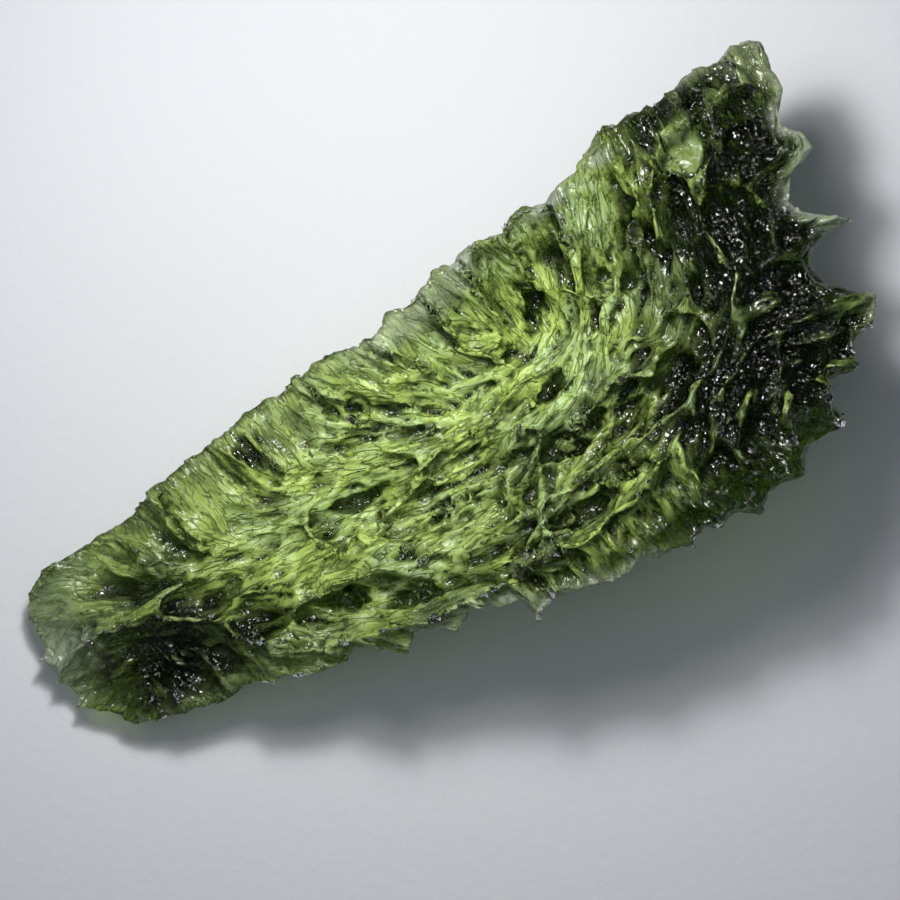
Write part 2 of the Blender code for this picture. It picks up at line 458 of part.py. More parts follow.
def gouge_centres(points, flow, normals, spacing, stretch, rng):
    """Scattered centres, closer together across the grain than along it."""
    order = rng.permutation(len(points))
    kept = []
    free = np.ones(len(points), dtype=bool)
    for index in order:
        if not free[index]:
            continue
        kept.append(index)
        reach = points - points[index]
        along = reach @ flow[index]
        out = reach @ normals[index]
        across2 = (reach ** 2).sum(axis=1) - along ** 2 - out ** 2
        free &= (along / stretch) ** 2 + across2 + out ** 2 > spacing ** 2
    return kept


def cut_gouges(mesh, length, width, depth, spacing, rng):
    """One pass of overlapping spoon-shaped gouges, which leave sharp crests between them."""
    points, normals = points_of(mesh), normals_of(mesh)
    flow = grain_directions(points, normals)
    stretch = GOUGE_STAGGER * length / width
    carved = np.zeros(len(points))
    for index in gouge_centres(points, flow, normals, spacing, stretch, rng):
        size = rng.uniform(*GOUGE_SIZES)
        reach = points - points[index]
        along = reach @ flow[index]
        out = reach @ normals[index]
        across = reach @ np.cross(normals[index], flow[index])
        inside = 1.0 - (
            (along / (0.5 * length * size)) ** 2
            + (across / (0.5 * width * size)) ** 2
            + (out / width) ** 2
        )
        carved = np.maximum(carved, depth * size * np.clip(inside, 0.0, 1.0))
    carved *= np.where(normals[:, 2] < UNDERSIDE, GOUGE_UNDER, 1.0)
    carved = guarded(carved, points) * foot_keep(points, normals)
    set_points(mesh, points - normals * carved[:, None])


def foot_keep(points, normals):
    """0 in the middle of the swellings that carry the stone, 1 away from them."""
    keep = np.ones(len(points))
    for foot_x, foot_y in FEET:
        gap = np.hypot(points[:, 0] - foot_x, points[:, 1] - foot_y)
        keep = np.minimum(keep, smooth_step(gap / FOOT_CORE - 1.0))
    return np.where(normals[:, 2] < 0.0, keep, 1.0)


def chip_rim(mesh):
    """A smooth shell-shaped break near the corner of the straight rim."""
    points, normals = points_of(mesh), normals_of(mesh)
    gap = np.hypot(points[:, 0] - CHIP_CENTRE[0], points[:, 1] - CHIP_CENTRE[1])
    near = (gap < CHIP_RADIUS) & (normals[:, 2] > 0.0)
    level = np.median(points[near, 2])
    ball = (CHIP_RADIUS ** 2 + CHIP_DEPTH ** 2) / (2.0 * CHIP_DEPTH)
    bowl = level + ball - CHIP_DEPTH - np.sqrt(np.clip(ball ** 2 - gap ** 2, 0.0, None))
    bowl += CHIP_TILT * (points[:, 0] - CHIP_CENTRE[0])
    blend = smooth_step(1.0 + (CHIP_RADIUS - gap) / (CHIP_LIP * CHIP_RADIUS)) * near
    points[:, 2] += (bowl - points[:, 2]) * blend
    set_points(mesh, points)


def faceted(mesh, group):
    """The stone as flat facets, few where the glass is smooth and many along the crests."""
    faces = sum(len(polygon.vertices) - 2 for polygon in mesh.polygons)
    obj = bpy.data.objects.new("facets", mesh)
    group.objects.link(obj)
    split = obj.modifiers.new("triangles", "TRIANGULATE")
    split.quad_method = "BEAUTY"
    thin = obj.modifiers.new("fewer facets", "DECIMATE")
    thin.decimate_type = "COLLAPSE"
    thin.ratio = TRIANGLES / faces
    return baked_mesh(obj)


def drop_crumbs(bm):
    """Keeps the largest connected piece; thin necks can leave crumbs when the gouges meet."""
    pieces = []
    left = set(bm.verts)
    while left:
        piece = {left.pop()}
        edge_of_piece = list(piece)
        while edge_of_piece:
            vertex = edge_of_piece.pop()
            for edge in vertex.link_edges:
                other = edge.other_vert(vertex)
                if other not in piece:
                    piece.add(other)
                    edge_of_piece.append(other)
        left -= piece
        pieces.append(piece)
    pieces.sort(key=len)
    crumbs = [vertex for piece in pieces[:-1] for vertex in piece]
    bmesh.ops.delete(bm, geom=crumbs, context="VERTS")


def stand_on_table(mesh):
    """Cuts the bumps flat in the table plane and puts the origin in the middle of the footprint."""
    bm = bmesh.new()
    bm.from_mesh(mesh)
    drop_crumbs(bm)
    low = Vector((0.0, 0.0, 0.0))
    bmesh.ops.bisect_plane(
        bm, geom=bm.verts[:] + bm.edges[:] + bm.faces[:], dist=0.005 * MM,
        plane_co=low, plane_no=Vector((0.0, 0.0, 1.0)), clear_inner=True,
    )
    rim = [edge for edge in bm.edges if edge.is_boundary]
    bmesh.ops.holes_fill(bm, edges=rim, sides=0)
    bmesh.ops.triangulate(bm, faces=bm.faces)
    bmesh.ops.remove_doubles(bm, verts=bm.verts, dist=0.01 * MM)
    bmesh.ops.dissolve_degenerate(bm, edges=bm.edges, dist=0.005 * MM)
    bmesh.ops.triangulate(bm, faces=bm.faces)
    bmesh.ops.recalc_face_normals(bm, faces=bm.faces)
    corners = np.array([vertex.co for vertex in bm.verts])
    middle = (corners.min(axis=0) + corners.max(axis=0)) / 2.0
    bmesh.ops.translate(bm, verts=bm.verts, vec=(-middle[0], -middle[1], 0.0))
    bm.to_mesh(mesh)
    bm.free()


def build_stone():
    rng = np.random.default_rng(SEED)
    helpers = make_collection("helpers")
    stone = make_collection(NAME)
    mesh = outline_blank(helpers)
    bend_slab(mesh)
    add_spines(mesh)
    mesh = remeshed(mesh, BODY_VOXEL, helpers)
    carve_strokes(mesh)
    mesh = remeshed(mesh, BODY_VOXEL, helpers)
    for length, width, depth, spacing in GOUGE_PASSES:
        cut_gouges(mesh, length, width, depth, spacing, rng)
    chip_rim(mesh)
    mesh = remeshed(mesh, BODY_VOXEL, helpers)
    mesh = faceted(mesh, helpers)
    stand_on_table(mesh)
    mesh.name = NAME
    mesh.materials.clear()
    mesh.materials.append(glass_material())
    stone.objects.link(bpy.data.objects.new(NAME, mesh))


clear_scene()
build_stone()
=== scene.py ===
import math

import bmesh
import bpy
import numpy as np
from mathutils import Matrix, Vector
from mathutils.bvhtree import BVHTree
from mathutils.kdtree import KDTree


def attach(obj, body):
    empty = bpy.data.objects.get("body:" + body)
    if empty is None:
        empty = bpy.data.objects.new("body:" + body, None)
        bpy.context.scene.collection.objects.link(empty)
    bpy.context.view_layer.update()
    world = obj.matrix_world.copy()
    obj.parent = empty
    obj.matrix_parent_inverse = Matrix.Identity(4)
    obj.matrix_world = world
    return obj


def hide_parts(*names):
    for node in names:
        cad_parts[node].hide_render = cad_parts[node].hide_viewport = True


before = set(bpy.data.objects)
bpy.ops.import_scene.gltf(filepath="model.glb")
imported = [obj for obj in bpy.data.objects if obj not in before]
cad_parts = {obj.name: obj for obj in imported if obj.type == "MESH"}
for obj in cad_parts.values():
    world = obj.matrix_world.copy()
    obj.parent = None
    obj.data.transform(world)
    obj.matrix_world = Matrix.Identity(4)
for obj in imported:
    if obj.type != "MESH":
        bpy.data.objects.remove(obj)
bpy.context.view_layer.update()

# A moldavite lying on pale paper.
#
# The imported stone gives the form. Here its skin is made fine: the facets are melted together, the
# etching of natural glass is cut along the flow of the melt, and clear green glass fills it.
# Lengths in the tables are millimetres; what Blender is given is in metres.

MM = 0.001

# The skin: the even grid that it is remade on, and the rounds that smooth the facets away.
SKIN_VOXEL = 0.135
SKIN_SMOOTHINGS = 2
SKIN_TRIANGLES = 192000

# Tips: rounds of averaging that find them, and how far outwards they are carried, so that melting and
# etching don't shorten them. The foot of the stone is left as it is.
TIP_ROUNDS = 8
TIP_GAIN = 0.9
TIP_FROM = 0.10
TIP_MOST = 0.35
TIP_ABOVE = 0.5
FOOT_FADE = 0.4          # below this height the etching runs out

# The etching. Each pass lays overlapping plates along the flow: length, width, height, spacing across.
PLATES = [(7.0, 2.00, 0.80, 1.30), (4.2, 0.95, 0.45, 0.62), (2.4, 0.44, 0.16, 0.31)]
PLATE_SIZES = (0.6, 1.5)
PLATE_TILTS = (0.05, 0.22)   # usual slope of a plate along the flow and across it
PLATE_TURN = 8.0         # degrees that a plate usually lies off the flow
PLATE_STAGGER = 0.5      # spacing along the flow for the spacing across, per length over width
LOST_PLATES = (0.20, 0.0, 0.0)   # share of each pass's plates gone from the rugged parts
WALL_SHARE = 0.38        # most that the etching may take of the glass behind it
JUST_INSIDE = 0.1        # where a ray through the glass starts
FAR = 30.0               # from here a ray comes back to the stone
NO_END = 20.0            # thickness where a ray finds no other side
TINY = 1e-6
SEED = 11

# Flow of the melt on the upper face: x, y, degrees from +X. FLOW_AT moves this table, and every other
# table of places below, to the stone's frame.
FLOW_AT = (0.56, -0.07)
FLOW = [
    (-24.0, 6.2, 20), (-23.5, 3.6, 5), (-22.5, 8.6, 150), (-20.0, 7.6, 125), (-21.0, 5.2, 165),
    (-21.0, 1.0, 85), (-18.0, 4.4, 170), (-17.0, 8.0, 110), (-17.5, 1.6, 135), (-15.0, 8.6, 95),
    (-15.0, 3.4, 165), (-15.0, 0.4, 145), (-12.6, 8.0, 95), (-12.0, 5.0, 150), (-12.0, 2.6, 172),
    (-12.0, -2.0, 147), (-9.8, 8.4, 88), (-9.0, 4.4, 165), (-8.0, 1.2, 170), (-9.0, -1.4, 155),
    (-7.0, 8.2, 90), (-6.0, 4.4, 155), (-5.0, -2.0, 165), (-7.0, -4.6, 160), (-3.0, 8.6, 100),
    (-2.4, 6.4, 130), (-2.6, 3.8, 155), (-3.0, 1.4, 176), (-2.0, -2.4, 170), (-1.0, -5.4, 178),
    (0.4, 8.0, 108), (1.0, 5.4, 112), (1.4, 3.2, 0), (1.0, 1.2, 2), (2.0, -2.0, 20),
    (3.2, 8.0, 98), (3.4, 5.2, 150), (4.0, 1.2, 6), (4.0, -3.6, 4), (4.0, -5.6, 0),
    (6.4, 8.4, 88), (6.0, 5.2, 95), (6.0, 2.8, 20), (7.2, 1.2, 38), (7.0, -2.6, 14),
    (9.0, 8.0, 82), (9.2, 4.6, 64), (9.8, -0.6, 172), (10.4, -3.0, 30), (12.2, 7.0, 62),
    (12.0, 3.6, 62), (13.0, 0.2, 32), (13.4, -2.4, 34), (15.0, 5.6, 66), (15.0, 1.8, 80),
    (17.4, 8.0, 80), (18.0, 4.0, 68), (18.4, 0.6, 80), (21.4, 8.2, 95), (21.6, 5.0, 60),
    (21.0, 2.8, 170), (20.0, -0.8, 166), (17.0, -2.4, 160), (18.6, -4.6, 172), (17.4, -6.4, 135),
    (14.0, -5.4, 30), (15.4, -8.0, 122), (12.6, -8.2, 110), (10.0, -6.6, 60), (9.6, -8.8, 92),
    (7.0, -7.6, 82), (4.6, -7.6, 90), (1.6, -7.4, 88), (-1.6, -6.9, 92), (-4.4, -5.8, 98),
    (-8.8, -4.4, 110), (-12.0, -3.3, 120), (-16.0, -1.9, 118), (-19.0, -0.6, 105),
]
FLOW_SOFT = 0.3          # distance within which a table entry keeps its full say
FLOW_POWER = 3.0         # how fast it loses its say with distance
KEEL_Y = 1.5             # the underside's flow fans out from a keel line along X
KEEL_HALF = 15.0
UNDERSIDE = -0.15        # skin whose normal dips lower than this belongs to the underside
STEEP = 0.15             # skin whose normal rises higher than this belongs to the upper face

# Etch marks on the plates, cut by the bump: width, length, share of the width that the groove takes.
# The fine ridges of this stone are taken to be 0.4 to 0.5 mm apart.
SCALES = (0.50, 1.4, 0.07)
SCALE_WANDER = 0.9
SCALE_GAPS = 1.0         # how soon a groove peters out
SCALE_GAP_SPAN = (0.48, 0.70)
BROAD_LINES = (0.9, 4.0, 0.03)
BROAD_GAIN = 1.6         # how much deeper the broad lines are than the scales' edges
BROAD_SHIFT = 37.0       # takes them to another part of their noise than the scales
MARK_DEPTH = 0.03        # depth of a scale's edge
GRIT = (0.8, 0.4)        # on the plates, in the hollows
GRIT_PER_MM = 4.2
FACETS = 3.8             # height of the tiny facets in the hollows
FACETS_PER_MM = 3.0

# Colours of the skin and of the glass under it.
# Painted shade in the grooves of the etch marks:
GROOVE_PAINTED_SHADE_GREEN = "#7c9142"
PLATE_GREEN = "#d7f282"
MINT_GREEN = "#d0eeaa"
MINT_PATCH = 3.5         # size of the minty patches
MINT_SPAN = (0.42, 0.62)
MOSS_GREEN = "#a8c55a"
MOSS_BLOTCH = (0.16, 0.9)    # width and length of the mossy blotches along the flow
MOSS_SPAN = (0.42, 0.64)
# Painted shade in the dark parts, crevices, hollows, gullies and the chip:
PAINTED_SHADE_GREEN = "#1d290b"
FROST_GREY = "#d3dcca"
FROST_RIBS = 0.55        # how much of the frost is left on the mossy blotches
BODY_GREEN = "#c5d84b"   # what a thick stone lets through
BODY_DENSITY = 110.0     # how strongly the glass takes the other colours, per metre
GLASS_IOR = 1.49         # about that of moldavite
SKIN_ROUGH = (0.16, 0.05)    # on the plates, in the hollows
MILK_ROUGH = 0.22        # what milky skin adds
MILKY = 0.15             # how much of the light passes where the skin is milky with etching

# The painted deep green shade: what a crevice and a hollow add to it, and what is taken off at the
# start.
CREVICE_PAINTED_SHADE = 0.42
CREVICE_FROM = 0.45
CREVICE_WIDTH = 0.4
HOLLOW_PAINTED_SHADE = 0.62
HOLLOWS = [(30, 0.30), (140, 0.60)]   # rounds of averaging, and the depth that is a full hollow
PAINTED_SHADE_FROM = 0.12
RIDGE_GAIN = 2.0         # ridges get less painted shade in the painted deep green parts
RIDGE_CLEAR = 0.5

# Parts of the upper face: x, y, half length along X, half width, strength.
PART_FADE = 1.6          # where a part ends, for its half sizes
# Here plates have broken away.
RUGGED = [(16.5, 1.5, 3.6, 5.0, 1.0)]
# Here deep green shade is painted on the skin and the glass is left clear.
PAINTED_SHADE_PARTS = [
    (-20.9, 1.9, 4.2, 2.7, 1.0), (-17.5, 0.4, 4.0, 1.8, 0.68), (-20.0, 5.4, 4.0, 2.0, 0.35),
    (18.2, 1.0, 4.2, 6.0, 0.88), (20.5, 5.2, 3.0, 2.6, 0.95), (19.4, 9.4, 1.9, 1.0, 0.9),
    (22.6, 8.6, 1.4, 1.6, 0.35), (13.8, -4.6, 5.6, 3.0, 1.0), (3.0, -5.0, 12.0, 1.8, 0.35),
    (7.0, -2.0, 5.0, 1.6, 0.3), (-7.4, 7.7, 2.2, 1.1, 0.20), (-9.8, 8.4, 0.8, 1.1, 0.70),
    (-10.2, 5.6, 0.7, 0.6, 0.55), (-6.8, 8.3, 0.7, 0.6, 0.40),
]
# Here the edge is frosted.
FROSTS = [
    (-24.0, 6.0, 1.8, 1.6, 0.8), (1.5, 9.0, 3.6, 0.9, 0.6), (-1.0, 9.5, 0.8, 0.4, 1.0),
    (5.2, 9.5, 0.9, 0.4, 1.0), (10.6, 9.2, 1.0, 0.4, 1.0), (14.2, 9.4, 0.7, 0.4, 0.8),
    (23.2, 9.0, 1.2, 1.0, 0.4), (-15.0, -3.1, 2.2, 0.8, 0.45), (-11.5, -4.6, 2.0, 0.7, 0.5),
    (-8.0, -6.1, 2.0, 0.7, 0.45), (-4.5, -7.6, 2.0, 0.7, 0.5), (-1.0, -8.7, 2.2, 0.7, 0.5),
    (3.0, -9.4, 2.4, 0.7, 0.45),
]
FROST_FACING = (3.0, 0.6)    # frost lies on skin that faces up: gain, and what a wall has
FROST_MILK = 0.6         # how milky full frost is
# Here the etching is shallow.
CALMS = [(-12.5, 7.3, 1.6, 1.5, 0.7), (-7.5, 7.4, 1.6, 1.5, 0.7)]
# Here the skin is milky with fine etching, and in RIBBED only its ridges are.
MILKS = [
    (-5.0, 4.2, 11.5, 6.2, 1.0), (5.5, 3.6, 6.0, 5.0, 1.0), (-1.0, -2.4, 14.0, 1.8, 0.75),
    (13.0, 6.6, 2.6, 3.6, 0.65), (3.0, -5.4, 14.0, 1.6, 0.85), (-20.0, 6.4, 4.6, 3.2, 0.55),
    (-20.5, -0.6, 4.0, 1.2, 0.35), (22.6, 8.6, 1.4, 1.6, 0.35), (12.0, 1.5, 3.0, 3.0, 0.5),
]
RIBBED = (15.0, 3.6, 3.4, 4.6, 0.55)
# Here thin stone looks frosted.
PALES = [(23.0, 1.0, 4.0, 9.0, 1.0), (2.0, -8.0, 22.0, 2.6, 1.0), (-24.0, 3.0, 2.6, 5.0, 1.0)]
PALE_MILK = 0.50
FROST_THIN = (0.15, 1.0)     # how frosted thin stone is elsewhere, and here

# What the thickness of the stone does. Frost: a stone this thin has all of it, so much thicker none.
FROST_EDGE = (1.3, 2.2)
# Milk and painted deep green shade: a stone this thin has none, so much thicker all of it.
MILK_EDGE = (0.4, 1.0)
THIN_EDGE = (0.3, 1.5)

# The chip, a fresh, flat break: x, y, half length, half width, degrees from +X, depth.
CHIP = (17.9, 7.4, 1.70, 1.30, 62.0, 0.25)
CHIP_ABOVE = 9.0         # the wall under the chip keeps its own skin
CHIP_CORNERS = ((0.10, 3.0, 0.6), (0.06, 5.0, 2.0))   # how its outline wanders: share, number, turn
CHIP_RIPPLE = (0.03, 9.0)    # height, and how close the ripples are
CHIP_EDGE = 0.12         # over this width its look gives way to the etched skin's
CHIP_GRAIN = 0.1         # the etch marks are opened out in the chip, for it is hardly etched
CHIP_MILK = 0.60
# Painted shade in the chip:
CHIP_PAINTED_SHADE = 0.30

# Gullies that the etching has cut between the plates: x, y, half length, half width, degrees from +X.
GULLIES = [
    (-14.9, 8.1, 1.5, 0.14, 80), (-11.2, 8.3, 1.5, 0.14, 100), (-5.0, 8.4, 1.3, 0.12, 100),
    (-1.0, 8.4, 1.3, 0.14, 105), (2.5, 8.3, 1.4, 0.14, 100), (5.2, 8.2, 1.3, 0.14, 95),
    (8.0, 8.2, 1.3, 0.14, 90), (10.4, 8.1, 1.2, 0.16, 80),
    (-6.5, 2.7, 1.5, 0.38, 168), (-6.0, 1.2, 0.5, 0.40, 150), (4.9, 1.4, 1.2, 0.36, 10),
    (1.2, -0.4, 1.1, 0.34, 172), (3.7, -1.5, 1.3, 0.60, 168), (-3.6, -0.6, 0.9, 0.40, 40),
    (-0.3, -1.3, 0.8, 0.28, 53), (0.7, -2.6, 1.1, 0.34, 50), (1.9, -2.6, 1.1, 0.28, 52),
    (-1.0, -5.1, 1.7, 0.60, 168), (-7.1, -3.0, 1.4, 0.60, 160), (-10.2, -1.0, 1.3, 0.55, 155),
    (5.5, -1.3, 1.0, 0.45, 175), (2.6, -4.8, 1.7, 0.50, 172), (5.4, -4.3, 1.5, 0.50, 160),
    (10.5, 4.0, 0.8, 0.45, 60), (11.6, 3.3, 0.5, 0.40, 60), (-1.9, -0.7, 0.8, 0.30, 170),
]
GULLY_DEPTH = 0.60
GULLY_WALL = 0.24        # width of its steep side
GULLY_CORNERS = ((0.16, 3.0), (0.10, 7.0))   # how its outline wanders: share, number
# Painted shade in a gully:
GULLY_PAINTED_SHADE = 0.62
GULLY_EVEN = 0.7         # how much of the crevices' and hollows' painted shade is left out in it

# Single round pits: x, y, radius, depth. Each has a groove round it and a shallow bowl inside.
PITS = [
    (-14.0, -2.0, 0.9, 0.25), (-12.3, -2.6, 0.9, 0.25), (21.1, 5.6, 1.1, 0.5), (-3.7, 6.6, 0.7, 0.3),
]
PIT_GROOVE = (0.8, 0.16)     # where the groove lies and how wide it is, for the radius
PIT_BOWL = 0.4           # depth of the bowl for that of the groove

# Small round pits, scattered by geometry nodes.
PIT_SPACING = 1.5
PIT_WIDTH = 1.0
PIT_DEPTH = 0.14
PIT_SIZES = (0.35, 1.0)
PIT_TRIES = 2.0e6        # points tried in a square metre; the spacing thins them out

FELT_PER_MM = 1.5        # grain of the paper

# The camera looks straight down.
VIEW_TURN = (0.797, 0.603)   # the straight rim's direction as the camera sees it
CAMERA_HEIGHT = 508.0
VIEW_LEVEL = 8.0         # the height at which the view is VIEW_WIDE across
VIEW_WIDE = 47.17
VIEW_CENTRE = (-2.096, 0.891)   # right and up of the stone's middle, as the camera sees it

# A small lamp close above gives the shadow and the sparkle, and two soft ones fill.
KEY_PLACE = (14.0, 31.0, 65.0)
KEY_AIM = (4.0, -0.7, 0.0)
KEY_POWER = 0.078
KEY_RADIUS = 5.0
KEY_CONE = 120.0


def linear(hex_colour):
    """sRGB hex to linear RGB."""
    values = [int(hex_colour[i:i + 2], 16) / 255.0 for i in (1, 3, 5)]
    return [v / 12.92 if v <= 0.04045 else ((v + 0.055) / 1.055) ** 2.4 for v in values]


def add_node(tree, kind, settings=None, **links):
    """A node with its properties and sockets set, and its inputs linked from other nodes' outputs. A
    link's name is the input's, with _ for a space, or _ and its number."""
    node = tree.nodes.new(kind)
    for name, value in (settings or {}).items():
        if isinstance(name, int):
            node.inputs[name].default_value = value
        elif hasattr(node, name) and name not in node.inputs:
            setattr(node, name, value)
        else:
            node.inputs[name].default_value = value
    for name, source in links.items():
        key = int(name[1:]) if name[1:].isdigit() else name.replace("_", " ")
        tree.links.new(source, node.inputs[key])
    return node


def points_of(mesh):
    """The mesh's points in mm."""
    flat = np.empty(len(mesh.vertices) * 3, dtype=np.float32)
    mesh.vertices.foreach_get("co", flat)
    return flat.reshape(-1, 3).astype(np.float64) / MM


def normals_of(mesh):
    flat = np.empty(len(mesh.vertices) * 3, dtype=np.float32)
    mesh.vertex_normals.foreach_get("vector", flat)
    return flat.reshape(-1, 3).astype(np.float64)


def set_points(mesh, points):
    mesh.vertices.foreach_set("co", (points * MM).astype(np.float32).ravel())
    mesh.update()


def plain_mesh(obj):
    """The object's evaluated mesh; the object and its modifiers are removed."""
    depsgraph = bpy.context.evaluated_depsgraph_get()
    mesh = bpy.data.meshes.new_from_object(obj.evaluated_get(depsgraph), depsgraph=depsgraph)
    bpy.data.objects.remove(obj, do_unlink=True)
    return mesh


def held(mesh, name="work"):
    """The mesh in an object of the scene."""
    obj = bpy.data.objects.new(name, mesh)
    bpy.context.scene.collection.objects.link(obj)
    return obj


def melted_skin():
    """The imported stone's mesh, merged, on a fine even grid, with its facets smoothed away."""
    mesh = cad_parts["moldavite"].data.copy()
    bm = bmesh.new()
    bm.from_mesh(mesh)
    bmesh.ops.remove_doubles(bm, verts=bm.verts, dist=0.001 * MM)
    bm.to_mesh(mesh)
    bm.free()
    obj = held(mesh)
    grid = obj.modifiers.new("even grid", "REMESH")
    grid.mode = "VOXEL"
    grid.voxel_size = SKIN_VOXEL * MM
    melt = obj.modifiers.new("melt facets", "SMOOTH")
    melt.factor = 0.5
    melt.iterations = SKIN_SMOOTHINGS
    return plain_mesh(obj)


def flow_directions(points, normals):
    """Unit vectors along the surface: the flow table above, a fan from the keel below."""
    table = np.array(FLOW, dtype=float)
    x, y = points[:, 0] - FLOW_AT[0], points[:, 1] - FLOW_AT[1]
    double = np.radians(table[:, 2] * 2.0)
    cos2, sin2 = np.zeros(len(x)), np.zeros(len(x))
    for (at_x, at_y, _), angle in zip(table, double):
        weight = (np.hypot(x - at_x, y - at_y) + FLOW_SOFT) ** -FLOW_POWER
        cos2 += weight * np.cos(angle)
        sin2 += weight * np.sin(angle)
    above = np.arctan2(sin2, cos2) / 2.0
    past_keel = np.clip(np.abs(x) - KEEL_HALF, 0.0, None) * np.sign(x)
    below = np.arctan2(y - KEEL_Y, past_keel)
    angle = np.where(normals[:, 2] > UNDERSIDE, above, below)
    flow = np.column_stack((np.cos(angle), np.sin(angle), np.zeros(len(x))))
    flow -= normals * (flow * normals).sum(axis=1)[:, None]
    size = np.linalg.norm(flow, axis=1)
    upright = np.column_stack((np.zeros(len(x)), np.zeros(len(x)), np.ones(len(x))))
    upright -= normals * normals[:, 2:]
    flow = np.where(size[:, None] > STEEP, flow, upright)
    return flow / (np.linalg.norm(flow, axis=1)[:, None] + 1e-9)


def glass_behind(mesh, points, normals):
    """Thickness of the glass at each point, through the skin or straight up and down, whichever is
    less, and how thick the whole stone is there."""
    tree = BVHTree.FromPolygons(
        [v.co.copy() for v in mesh.vertices], [tuple(p.vertices) for p in mesh.polygons])
    up = Vector((0.0, 0.0, 1.0))
    thick = np.full(len(points), NO_END)
    whole = np.full(len(points), NO_END)
    for index, (point, normal) in enumerate(zip(points, normals)):
        inward = Vector(-normal)
        inside = Vector(point * MM) + inward * JUST_INSIDE * MM
        deep, above, below = [tree.ray_cast(inside, way)[3] for way in (inward, up, -up)]
        if deep is not None:
            thick[index] = deep / MM
        if above is not None and below is not None:
            thick[index] = min(thick[index], (above + below) / MM)
        top = tree.ray_cast(inside + up * FAR * MM, -up)[0]
        bottom = tree.ray_cast(inside - up * FAR * MM, up)[0]
        if top is not None and bottom is not None:
            whole[index] = (top.z - bottom.z) / MM
    return thick, whole


def hollows(mesh, points, normals, rounds):
    """How far each point lies under the surface averaged around it."""
    edges = np.empty(len(mesh.edges) * 2, dtype=np.int32)
    mesh.edges.foreach_get("vertices", edges)
    one, other = edges[0::2], edges[1::2]
    count = np.bincount(edges, minlength=len(points))[:, None]
    level = points
    for _ in range(rounds):
        total = np.column_stack([
            np.bincount(one, level[other, axis], len(points))
            + np.bincount(other, level[one, axis], len(points)) for axis in range(3)])
        level = total / count
    return ((level - points) * normals).sum(axis=1)


class Slabs:
    """Finds the points near a place by slicing the stone across X."""

    def __init__(self, points):
        self.order = np.argsort(points[:, 0], kind="stable")
        self.x = points[self.order, 0]

    def near(self, x, reach):
        low, high = np.searchsorted(self.x, (x - reach, x + reach))
        return self.order[low:high]


def lay_plates(points, normals, flow, room, lost, length, width, height, spacing, rng):
    """One pass of plates. Gives how far the skin lies under their tops, short of the room there is, and
    the plate at each point."""
    slabs = Slabs(points)
    stretch = PLATE_STAGGER * length / width
    free = np.ones(len(points), dtype=bool)
    top = np.zeros(len(points))
    plate = np.full(len(points), -1)
    for index in rng.permutation(len(points)):
        if not free[index]:
            continue
        size = rng.uniform(*PLATE_SIZES)
        tilt = rng.normal(0.0, PLATE_TILTS)
        turn = math.radians(rng.normal(0.0, PLATE_TURN))
        side = np.cross(normals[index], flow[index])
        near = slabs.near(points[index, 0], max(0.5 * length * size, spacing * stretch))
        reach = points[near] - points[index]
        along = reach @ (flow[index] * math.cos(turn) + side * math.sin(turn))
        out = reach @ normals[index]
        across = reach @ (side * math.cos(turn) - flow[index] * math.sin(turn))
        free[near[(along / stretch) ** 2 + across ** 2 + out ** 2 < spacing ** 2]] = False
        if rng.random() < lost[index]:
            continue
        inside = 1.0 - ((along / (0.5 * length * size)) ** 2
                        + (across / (0.5 * width * size)) ** 2 + (out / width) ** 2)
        rise = height * inside + tilt[0] * along + tilt[1] * across
        higher = (inside > 0.0) & (rise > top[near])
        top[near[higher]] = rise[higher]
        plate[near[higher]] = index
    under = np.clip(height - top, 0.0, None)
    return room * (1.0 - np.exp(-under / room)), plate


